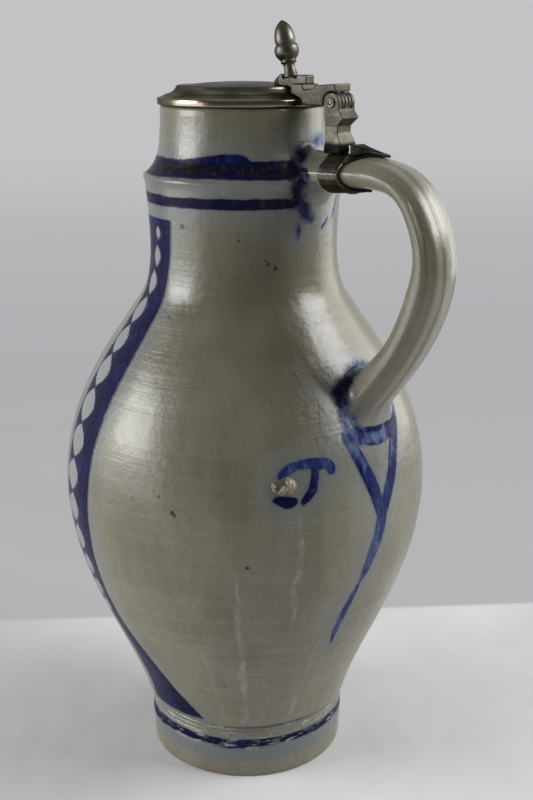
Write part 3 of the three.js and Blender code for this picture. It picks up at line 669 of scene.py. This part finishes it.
# Pale salt that ran down the belly
SALT_RUNS = [
    [(-33, 169, 0.6), (-32, 156, 1.3), (-31.9, 142, 1.4), (-32.5, 136, 1.8),
     (-34, 128, 1), (-32.8, 119, 1.5), (-32.7, 110, 0.9), (-33.6, 98, 0.6)],
    [(-51.4, 142, 0.5), (-50.4, 126, 1.2), (-50.9, 104, 1.9), (-49.4, 84, 1.5),
     (-49.8, 66, 2.3), (-48.7, 50, 1.8), (-48.9, 35, 2.4)],
    [(-66, 92, 0.5), (-63.4, 74, 1.3), (-62.6, 58, 1), (-60.8, 38, 1.5)],
    [(-20, 98, 0.4), (-21.6, 82, 1.2), (-22, 64, 0.9), (-24.2, 38, 1.5)],
    [(100, 122, 0.5), (98.6, 98, 1.7), (98.2, 70, 1.2), (96.8, 38, 1.9)],
    [(38, 152, 0.4), (39.4, 126, 1.4), (38.8, 96, 1.8), (40.2, 58, 1.2)],
]
# Hairline in the glaze left of the handle's root: angles by height
HAIRLINE = [(194, -25.2), (202, -25.4), (207, -23.2), (213, -22.2), (219, -21.2)]
# Iron spots: angle, height and half width
IRON_SPOTS = [
    (-85.7, 294.7, 1.1), (-51.1, 288.9, 0.65), (-29.8, 275.4, 0.95), (-34, 277.6, 0.9),
    (-35.4, 279, 0.7), (-89, 251.2, 0.7), (-73.8, 174.2, 0.7), (-69.3, 167.4, 1.1),
    (-68.6, 166.4, 0.8), (-47.7, 141.8, 1), (-83, 171, 0.7), (-1.2, 161.5, 1.2),
    (-17, 251, 0.6), (60, 190, 1), (75, 120, 0.8), (110, 230, 0.9), (48, 260, 0.7),
    (-58, 62, 0.6), (22, 96, 0.7),
]

# Side border: height, angle of the edge among the ovals and angle of the outer edge
BORDER = [
    (34.2, -111, -71.8), (42, -109, -78.3), (51, -107.5, -85.5), (66, -107, -93.2),
    (80, -108.5, -98.8), (92, -111.5, -102.8), (106, -114.5, -104.2), (127, -118.5, -104.2),
    (150, -122, -103.9), (185, -123.8, -103), (205, -124.3, -101.6), (230, -124, -99.6),
    (250, -124, -98.5), (262, -127, -98.3), (278, -131, -97.2), (297, -132, -95),
]
# Ovals in the border: angle, height, half width and half height
OVALS = [
    (-109.6, 289.4, 2.6, 3.6), (-112, 277.6, 3.7, 5.6), (-115, 264.2, 4.6, 6.2),
    (-116.6, 250.4, 5.4, 6.6), (-117, 236, 6.4, 6.9), (-117.2, 220.6, 7.6, 7.7),
    (-117, 203.6, 8.6, 8.4), (-116.6, 185.8, 9, 8.6), (-116.8, 167.8, 8.6, 8.4),
    (-116.2, 150.6, 8, 8), (-114.6, 134.4, 6.8, 7.4), (-112.6, 119.8, 5.4, 6.6),
    (-111, 107.2, 4, 5.4), (-110, 97, 2.8, 4.2),
]


def surface_points(rows):
    """Places on the outside of the body, in millimetres, of angles in degrees and heights."""
    rows = np.array(rows, float)
    angle = np.radians(rows[:, 0])
    radius = radius_at(rows[:, 1])
    return np.stack([radius * np.cos(angle), radius * np.sin(angle), rows[:, 1]], 1)


def stroke_field(places, rows):
    """How far each place lies inside a stroke, in millimetres, negative outside it."""
    line = spline(rows, 4 * (len(rows) - 1))
    nodes = surface_points(line)
    best = np.full(len(places), -NOWHERE)
    margin = 20
    near = (places > nodes.min(0) - margin).all(1) & (places < nodes.max(0) + margin).all(1)
    some = places[near]
    field = best[near]
    for a, b, wa, wb in zip(nodes, nodes[1:], line[:, 2], line[1:, 2]):
        along = b - a
        share = np.clip(((some - a) @ along) / max(along @ along, 1e-9), 0, 1)
        gap = np.linalg.norm(some - a - share[:, None] * along, axis=1)
        field = np.maximum(field, wa + (wb - wa) * share - gap)
    best[near] = field
    return best


def petals():
    """Strokes of the flower and leaves on the front, laid out from angles and lengths."""
    strokes = []
    middle, height = 180.0, 196.0
    scale = math.degrees(1 / float(radius_at(height)))
    for k in range(8):
        turn = CIRCLE * k / 8
        rows = [(middle + math.sin(turn) * r * scale, height + math.cos(turn) * r, w)
                for r, w in ((9, 0.8), (15, 3.6), (22, 5.0), (28, 3.2), (31, 0.6))]
        strokes.append((0.5, rows))
    strokes.append((0.75, [(middle - 1.2, height, 4.6), (middle + 1.2, height, 4.6)]))
    strokes.append((0.55, [(middle, 160, 1.4), (middle + 1.5, 120, 1.8), (middle, 62, 1.2)]))
    for side in (-1, 1):
        for low, reach, rise in ((150, 30, 12), (118, 34, 16), (84, 24, 12)):
            rows = [(middle + side * 1.5, low - 8, 0.9), (middle + side * 0.35 * reach, low, 3.4),
                    (middle + side * 0.7 * reach, low + 0.4 * rise, 4.2),
                    (middle + side * 0.95 * reach, low + rise, 0.7)]
            strokes.append((0.48, rows))
        strokes.append((0.5, [(middle + side * 2, 230, 1.0), (middle + side * 11, 241, 3.4),
                              (middle + side * 12, 253, 2.6), (middle + side * 7, 262, 0.6)]))
    strokes.append((0.6, [(middle, 232, 0.8), (middle, 246, 3.8), (middle, 262, 0.7)]))
    return strokes


def painted_bands(angle, z, width, wave, flaw):
    """Tone and field of each blue band."""
    layers = []
    for tone, low, high, uneven in BANDS:
        middle, half = (low + high) / 2, (high - low) / 2
        field = half - np.abs(z - middle + uneven * wave) + 0.6 * uneven * wave
        if low > NECK_HEIGHT:
            field = np.minimum(field, np.maximum(BAND_ENDS[0] - angle, angle - BAND_ENDS[1]) * width)
        layers.append((tone, field - 0.6 * np.maximum(flaw - 0.15, 0)))
    return layers


def side_border(turn, z, width):
    """One side border: its blue, the incised outlines and the bare ovals in it."""
    heights, inner, outer = np.array(BORDER).T
    from_outer = (np.interp(z, heights, outer) - turn) * width
    blue = np.minimum((turn - np.interp(z, heights, inner)) * width, from_outer)
    blue = np.minimum(blue, np.minimum(z - heights[0], heights[-1] - z))
    outlines = 0.35 - np.abs(from_outer) - NOWHERE * ((z < 36) | (z > heights[-1]))
    bare = np.full(len(z), -NOWHERE)
    for middle, height, half_width, half_height in OVALS:
        rise = np.abs(z - height) / half_height
        lens = (1 - np.minimum(rise, 2) ** 2) * 1.06 * half_width
        oval = (lens - np.abs(turn - middle) * width) * 0.75
        blue = np.minimum(blue, -oval)
        bare = np.maximum(bare, oval)
        outlines = np.maximum(outlines, -np.abs(oval) - 3 * np.maximum(rise - 1.05, 0))
    return blue, outlines, bare


def hairline(angle, z, width, flaw):
    """Distance from the hairline, with its sign, so that it is nought on the line alone."""
    heights, angles = np.array(HAIRLINE).T
    crack = (angle - np.interp(z, heights, angles)) * width + 0.9 * flaw
    return np.where((z < heights[0]) | (z > heights[-1]), np.copysign(NOWHERE, crack), crack)


def paint(mesh):
    """Writes the brushwork to a mesh as distances that the glaze turns into colour."""
    places = np.empty(len(mesh.vertices) * 3)
    mesh.vertices.foreach_get("co", places)
    places = places.reshape(-1, 3) * 1000
    angle = np.degrees(np.arctan2(places[:, 1], places[:, 0]))
    z = places[:, 2]
    radius = radius_at(z)
    width = radius * math.pi / 180
    distance = np.hypot(places[:, 0], places[:, 1])
    reach = distance - radius
    outside = (reach > -SKIN) & (reach < LUTED)
    # clay that stands on the wall is painted as the wall behind it is
    places[:, :2] *= np.where(outside, radius / np.maximum(distance, 1), 1)[:, None]
    wave = np.array([noise.noise(Vector(p) * 0.028) for p in places])
    flaw = np.array([noise.noise(Vector(p) * 0.11) for p in places])

    layers = painted_bands(angle, z, width, wave, flaw)
    front = petals()
    for tone, rows in NECK_DABS + FLOURISH + ROOT_MARK + NECK_RISE + front:
        layers.append((tone, stroke_field(places, rows)))
    # the smoky blots spread over the luted clay and fade where the handle leaves the wall
    lift = 1.2 * np.maximum(reach - SKIN, 0)
    smoke = [(tone, stroke_field(places, rows) - lift) for tone, rows in SMOKE]
    layers += smoke
    ragged = [field for tone, field in smoke]
    ragged += [stroke_field(places, rows) for tone, rows in ROOT_MARK[:2]]

    outlines = [-np.abs(stroke_field(places, rows)) for tone, rows in front]
    bare = []
    for side in (1, -1):
        turn = np.where(side * angle > 0, side * angle - 360, side * angle)
        blue, edges, ovals = side_border(turn, z, width)
        layers.append((0.72, blue))
        outlines.append(edges)
        bare.append(ovals)

    # where strokes meet, the one that reaches further gives most of the tone
    fields = np.array([field for tone, field in layers])
    most = fields.max(0)
    weights = np.exp(np.clip((fields - most) / BLEND, -30, 0))
    tones = np.array([tone for tone, field in layers])[:, None]
    # the neck's band is thickest along its middle and thin at its top
    thick = (1 - np.clip(np.abs(z - 321.6) / 3.4, 0, 1)) * (z > 310)
    tone = (weights * tones).sum(0) / weights.sum(0) + 0.24 * thick - 0.12 * (z > 325)
    for streak, rows in STREAKS:
        laid = np.clip(0.5 + stroke_field(places, rows) / BLEND, 0, 1)
        tone = tone + (streak - tone) * laid
    attributes = {
        "cobalt": np.where(outside, most, -NOWHERE),
        "tone": tone,
        "torn": np.clip(1.4 - (most - np.max(ragged, 0)) / 2, 0, 1),
        "salt": np.max([stroke_field(places, rows) for rows in SALT_RUNS], 0),
        "bare": np.max(bare, 0),
        "incised": np.max(outlines, 0),
        "crack": hairline(angle, z, width, flaw),
    }
    for name, values in attributes.items():
        layer = mesh.attributes.new(name, "FLOAT", "POINT")
        layer.data.foreach_set("value", values.astype(np.float32))


def thrown_body():
    obj = finished(turned(OUTER + inner_line(), 320), "thrown_body", glaze_material("painted_salt_glaze"))
    paint(obj.data)
    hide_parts("jug_body")
    return obj


def scar_material():
    """Fused clay, cream and brown, with painted shade darkening its notch."""
    s = Shader("fused_scar")
    tone = s.noise(330, 4, roughness=0.65)
    cream = s.mix(s.step(tone, 0.36, 0.62), (0.12, 0.096, 0.064), (0.27, 0.235, 0.17))
    # painted shade: the notch is darker brown the deeper it is cut
    burnt_and_shade = s.mix(s.step(s.attribute("hollow"), 0.1, 0.8, 0.0, 0.8), cream, (0.055, 0.041, 0.026))
    return s.surface({"Base Color": burnt_and_shade, "Roughness": 0.38, "Normal": s.bump(tone, 0.12)})


def kiln_scar():
    """Lump with a notch cut into it, on the side of the belly."""
    angle, height = math.radians(-36.9), 180.8
    bm = bmesh.new()
    bmesh.ops.create_icosphere(bm, subdivisions=6, radius=1)
    hollow = bm.verts.layers.float.new("hollow")
    bmesh.ops.scale(bm, verts=bm.verts[:], vec=(4.2 * MM, 6.6 * MM, 4.9 * MM))
    corners = [Vector(p) for p in ((-7.7, 7.0), (2.3, 6.4), (1.6, 1.8), (-3.7, -3.3))]
    for vert in bm.verts:
        place = Vector((vert.co.y, vert.co.z)) / MM
        inside = min((b - a).normalized().cross(a - place)
                     for a, b in zip(corners, corners[1:] + corners[:1]))
        depth = eased(0.7 * inside)
        # the notch's depth, which the scar's material turns into painted shade
        vert[hollow] = depth
        lump = 0.5 * noise.noise(Vector((*(place * 0.3), 4))) + 0.25 * noise.noise(Vector((*place, 2)))
        if vert.co.x > 0:
            vert.co.x += (lump - 1.3 * depth) * MM
    seat = float(radius_at(height)) - 1.8
    placed(bm, angle, "Z", Vector((seat * math.cos(angle), seat * math.sin(angle), height)) * MM)
    return finished(bm, "kiln_scar", scar_material())


# Handle

def handle_line(count):
    """Shares of the handle's length, and its middle line there."""
    root = float(radius_at(HANDLE_ROOT_HEIGHT))
    reach = HANDLE_REACH
    hinge = HINGE.x / MM
    out = reach - hinge
    drop = HANDLE_TOP - HANDLE_REACH_HEIGHT
    span = reach - root
    fall = HANDLE_REACH_HEIGHT - HANDLE_ROOT_HEIGHT
    sink = 7
    knots = np.array([
        (RIM_RADIUS - 0.6 * sink, HANDLE_TOP - 0.1 * sink), (hinge + 4.8, HANDLE_TOP),
        (hinge + 0.38 * out, HANDLE_TOP - 0.01 * drop), (hinge + 0.745 * out, HANDLE_TOP - 0.2 * drop),
        (hinge + 0.945 * out, HANDLE_TOP - 0.6 * drop), (reach, HANDLE_REACH_HEIGHT),
        (reach - 0.12 * span, HANDLE_REACH_HEIGHT - 0.27 * fall),
        (reach - 0.44 * span, HANDLE_REACH_HEIGHT - 0.59 * fall),
        (root + 0.43 * sink, HANDLE_ROOT_HEIGHT + 0.86 * sink),
        (root - sink, HANDLE_ROOT_HEIGHT - 0.86 * sink)])
    dense = centripetal(knots, 60)
    length = np.concatenate([[0], np.cumsum(np.hypot(*np.diff(dense, axis=0).T))])
    # more stations where the handle is luted on to the wall
    even = np.linspace(0, 1, 2000)
    crowd = np.cumsum(1 + 2.5 * (even > 0.84) + 1.5 * (even < 0.13))
    share = np.interp(np.linspace(crowd[0], crowd[-1], count + 1), crowd, even)
    line = np.stack([np.interp(share * length[-1], length, dense[:, k]) for k in (0, 1)], 1)
    # the real handle rises a little more before its bend, and is slimmer above its root
    line[:, 1] += 2.2 * hump(share, 0.32, 0.09)
    line[:, 0] += 0.7 * hump(share, 0.40, 0.06)
    line += np.array([0.8, -0.5]) * hump(share[:, None], 0.76, 0.1)
    return share, line


def centripetal(knots, steps):
    """Smooth line whose knots are spaced by the square root of their distance."""
    first = knots[0] + (knots[0] - knots[1])
    final = knots[-1] + (knots[-1] - knots[-2])
    knots = np.vstack([first, knots, final])
    out = []
    for a, b, c, d in zip(knots, knots[1:], knots[2:], knots[3:]):
        ta, tb, tc = (np.hypot(*(q - p)) ** 0.5 for p, q in ((a, b), (b, c), (c, d)))
        start = ((b - a) / ta - (c - a) / (ta + tb) + (c - b) / tb) * tb
        end = ((c - b) / tb - (d - b) / (tb + tc) + (d - c) / tc) * tb
        for t in np.linspace(0, 1, steps, endpoint=False):
            out.append(bent(b, c, start, end, t))
    out.append(knots[-2])
    return np.array(out)


def wall_gap(place):
    """Distance out from the wall of the jug, and the way straight out of it, at a place."""
    drop = float(radius_at(place.z - 1) - radius_at(place.z + 1)) / 2
    slope = math.atan(min(2.0, max(-0.3, drop)))
    turn = math.atan2(place.y, place.x)
    out = Vector((math.cos(turn) * math.cos(slope), math.sin(turn) * math.cos(slope), math.sin(slope)))
    return (math.hypot(place.x, place.y) - float(radius_at(place.z))) * math.cos(slope), out


def smeared(place, centre, reach):
    """A place on the handle, moved along the wall of the jug where the clay is luted on to it."""
    gap, out = wall_gap(place)
    if gap >= reach:
        return place
    away = place - centre
    away = (away - out * away.dot(out)).normalized()
    near = reach - max(0.0, gap)
    moved = place + away * 0.9 * (reach - math.sqrt(reach ** 2 - near ** 2))
    new_gap, new_out = wall_gap(moved)
    return moved - new_out * (new_gap - gap)


def fluted(turn, share):
    """Share of its full width that the handle has at an angle from the middle of its upper side."""
    # a broad channel that is steep towards the handle's edge, and a narrow one beside the middle rib
    open_part = 1 - FLUTE_DEPTH * hump(turn, 67, 9 if turn > 67 else 19) - 0.042 * hump(turn, 21, 7)
    # under the pewter band the flutes are shallow and wide
    banded = 1 - 0.155 * abs(math.sin(math.radians(2 * min(turn, 90)))) ** 0.85
    return float(banded + (open_part - banded) * eased((share - 0.2) / 0.08))


def pulled_handle():
    """Rings of the fluted section along the handle's line, bridged and spread on to the wall."""
    stations, points = 400, 112
    # the outermost stations lie deep in the wall and are left out
    left_out = 8
    share, line = handle_line(stations)
    heading = np.gradient(line, axis=0)
    heading /= np.hypot(*heading.T)[:, None]
    bm = bmesh.new()
    ridge, around, along, wall = (bm.verts.layers.float.new(name)
                                  for name in ("ridge", "around", "along", "wall"))
    rings = []
    for k in range(left_out, stations + 1 - left_out):
        bend = held((share[k] - 0.08) / 0.54)
        waist = 1 - 0.25 * math.sin(math.pi * bend) ** 1.5 - 0.1 * hump(share[k], 0.76, 0.1)
        flare = 1 + 0.1 * eased((share[k] - 0.45) / 0.5)
        ring = bmesh.ops.create_circle(bm, segments=points, radius=1)["verts"]
        out = Vector((-heading[k][1], 0, heading[k][0]))
        centre = Vector((line[k][0], 0, line[k][1]))
        for vert in ring:
            side, front = vert.co.x, vert.co.y
            turn = abs(math.degrees(math.atan2(side, front)))
            flute = fluted(turn, share[k])
            # how high the clay stands across the flutes; the glaze paints shade in the flutes and a
            # highlight on the ridges from it
            vert[ridge] = 1 - (1 - flute) / FLUTE_DEPTH if turn < 90 else 0.85
            vert[around] = turn * 0.2
            vert[along] = share[k] * 9
            wobble = 0.25 * noise.noise(Vector((side * 1.4, front * 1.4, share[k] * 9)))
            place = centre + Vector((0, 1, 0)) * (HANDLE_WIDTH / 2 * flare * flute * side)
            place += out * (HANDLE_THICKNESS / 2 * waist * flare * flute * front)
            place += (place - centre).normalized() * wobble
            # the clay is smeared further on to the wall under the top end and over the root
            if share[k] < 0.5:
                reach = 5 + 4 * max(0.0, -front)
            else:
                reach = 6.5 + 2.5 * max(0.0, front)
            vert[wall] = held(1.3 - wall_gap(place)[0] / reach)
            vert.co = smeared(place, centre, reach) * MM
        rings.append(ring)
    bm.edges.ensure_lookup_table()
    edges = [list({e for v in ring for e in v.link_edges}) for ring in rings]
    bmesh.ops.contextual_create(bm, geom=edges[0])
    bmesh.ops.contextual_create(bm, geom=edges[-1])
    for low, high in zip(edges, edges[1:]):
        bmesh.ops.bridge_loops(bm, edges=low + high)
    bmesh.ops.recalc_face_normals(bm, faces=bm.faces[:])
    obj = finished(bm, "pulled_handle", glaze_material("fluted_salt_glaze", True))
    paint(obj.data)
    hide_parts("jug_handle")
    return obj


# Pewter

def turned_lid(material):
    """Flat rim, sloped side, bead round the plateau and the low dome on it."""
    low = LID_BOTTOM
    ledge = LID_RADIUS - 5
    ledge_top = low + 5.1
    slope = quadratic((ledge, ledge_top), (PLATEAU_RADIUS + 1.3, ledge_top + 0.7),
                      (PLATEAU_RADIUS, LID_TOP - 1.1), 12)
    dome = [(share * (PLATEAU_RADIUS - 2.4), LID_TOP - 0.25 + 1.9 * (1 - share ** 2))
            for share in np.linspace(1, 0, 16)]
    under = [(share * (PLATEAU_RADIUS - 1.8), LID_TOP - 2.05 + 1.9 * (1 - share ** 2))
             for share in np.linspace(0, 1, 12)]
    rim = [(LID_RADIUS - inward, low + up) for inward, up in (
        (6.2, 1.6), (5.8, 0), (3, 0), (0.5, 0), (0.15, 0.12), (0, 0.5), (0, 1.5), (0, 2.8),
        (0.15, 3.2), (0.5, 3.4), (1.6, 3.7), (3.3, 4.4))]
    bead = [(PLATEAU_RADIUS - inward, LID_TOP - down) for inward, down in (
        (0.12, 0.6), (0.45, 0.2), (0.95, 0), (1.6, 0), (2.1, 0.1))]
    profile = under + rim + slope + bead + dome
    obj = finished(turned(profile, 220), "turned_lid", material)
    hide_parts("lid_cover")
    return obj


def turned_acorn(material):
    """Stem with its foot, waist and collar, then the cup and the nut, leaning outwards."""
    high, cup, nut, stem = 26.8, 5.85, 4.9, 2.7
    stem_line = spline([(stem + out, up * high) for out, up in (
        (0.8, 0.03), (0.3, 0.1), (0, 0.18), (0.3, 0.235), (1.0, 0.258), (1.1, 0.276), (0.9, 0.296))], 24)
    cup_line = spline([(out * cup, up * high) for out, up in (
        (0.68, 0.315), (0.92, 0.385), (1, 0.46), (0.97, 0.525), (0.87, 0.565))], 20)
    nut_line = spline([(out * nut, up * high) for out, up in (
        (0.92, 0.578), (1, 0.65), (0.95, 0.76), (0.72, 0.88), (0.28, 0.97), (0.006, 1))], 30)
    profile = [(0, 0), (3.4, 0), (3.6, 0.2), *stem_line, *cup_line, (0.86 * nut, 0.568 * high),
               *nut_line, (0, high)]
    bm = turned(profile, 64)
    placed(bm, math.radians(-13), "Y", Vector((31.2, 0, 363.1)) * MM)
    obj = finished(bm, "turned_acorn", material)
    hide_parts("thumb_acorn")
    return obj


def broaden(stand):
    """Gives the post's waist soft flanks, as it has less of a step there than its solid."""
    heights = [334, 338, 342, 345.7]
    solid = [5.96, 4.97, 4.24, 6.23]
    wanted = [5.96, 5.5, 5.4, 6.23]
    for vert in stand.data.vertices:
        z = vert.co.z / MM
        vert.co.y *= np.interp(z, heights, wanted) / np.interp(z, heights, solid)


def draw_out(band):
    """Draws the spur on the handle out to a thin point, and lifts the tongue under it."""
    spur_start, spur_length, tongue_start = 76, 14, 74
    for vert in band.data.vertices:
        x, y, z = vert.co / MM
        if x > spur_start and z > 322:
            top = 332.715 - 0.215 * (x - spur_start)
            towards_point = held((x - spur_start) / spur_length)
            vert.co.z = (top - (top - z) * (1 - 0.68 * towards_point)) * MM
            vert.co.y *= 1 - 0.3 * towards_point
        elif x > tongue_start and z < 318:
            vert.co.z += 0.09 * (x - tongue_start) * MM


def rivet_pin(material):
    """Pin with a round head at each end, along the hinge's axis."""
    end, head = 6.54, 0.6
    half = [(0, -end - head + 0.05), (0.9, -end - head + 0.1), (1.15, -end - 0.2), (1.35, -end - 0.2),
            (1.6, -end - head + 0.1), (1.95, -end - 0.4), (2.2, -end - 0.1), (2.15, -end), (1.5, -end)]
    profile = half + [(r, -z) for r, z in reversed(half)]
    bm = turned(profile, 40)
    placed(bm, math.radians(90), "X", HINGE)
    obj = finished(bm, "rivet_pin", material)
    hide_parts("hinge_pin")
    return obj


# Assembly

add_camera()
add_stage()
add_room()
add_lamp("window_left", (-1130, -220, 575), (0, 0, 220), (0.60, 0.50), 9.3)
add_lamp("card_left", (-880, -200, 250), (0, 0, 235), (0.85, 0.42), 2.6)
add_lamp("window_right", (1034, -120, 860), (0, 0, 220), (0.80, 0.6), 14.2)
add_lamp("window_behind", (866, 480, 430), (0, 0, 280), (0.60, 0.75), 3.2, (1.0, 0.97, 0.88))
add_lamp("ceiling", (-150, -700, 1300), (0, 0, 150), (1.2, 1.2), 0.7, (1.0, 0.99, 0.97))
bpy.context.scene.view_settings.view_transform = "Standard"

pewter = pewter_material("old_pewter", (0.150, 0.142, 0.115), (0.074, 0.069, 0.053), 0.34, 0.50)
lid_pewter = pewter_material("turned_pewter", (0.17, 0.163, 0.13), (0.085, 0.08, 0.06), 0.20, 0.36,
                             turned_lines=True)
worn = pewter_material("dark_pewter", (0.20, 0.188, 0.155), (0.055, 0.051, 0.042), 0.24, 0.40,
                       black_part="point")

for piece in (thrown_body(), kiln_scar(), pulled_handle()):
    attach(piece, "jug")

band = cast_copy("grip_band", "handle_strap", worn, 0.3, 4)
draw_out(band)
post_pewter = pewter_material("post_pewter", (0.128, 0.124, 0.103), (0.068, 0.065, 0.053), 0.48, 0.62,
                              black_part="foot", soot=0.3)
stand = cast_copy("hinge_stand", "hinge_post", post_pewter, 0.25, 16)
broaden(stand)
rubbed = pewter_material("rubbed_pewter", (0.26, 0.25, 0.21), (0.11, 0.104, 0.085), 0.22, 0.36)
pin = rivet_pin(rubbed)
for piece, finish in ((band, "worn_pewter"), (stand, "pewter"), (pin, "worn_pewter")):
    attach(piece, "jug")

handled = pewter_material("handled_pewter", (0.112, 0.107, 0.088), (0.060, 0.056, 0.045), 0.48, 0.62,
                          soot=0.2)
lever = cast_copy("lid_lever", "lid_arm", handled, 0.25, 20, 0.25)
seat = cast_copy("acorn_seat", "thumb_base", handled, 0.2, 24, 0.35)
for piece in (turned_lid(lid_pewter), lever, seat, turned_acorn(pewter)):
    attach(piece, "lid")
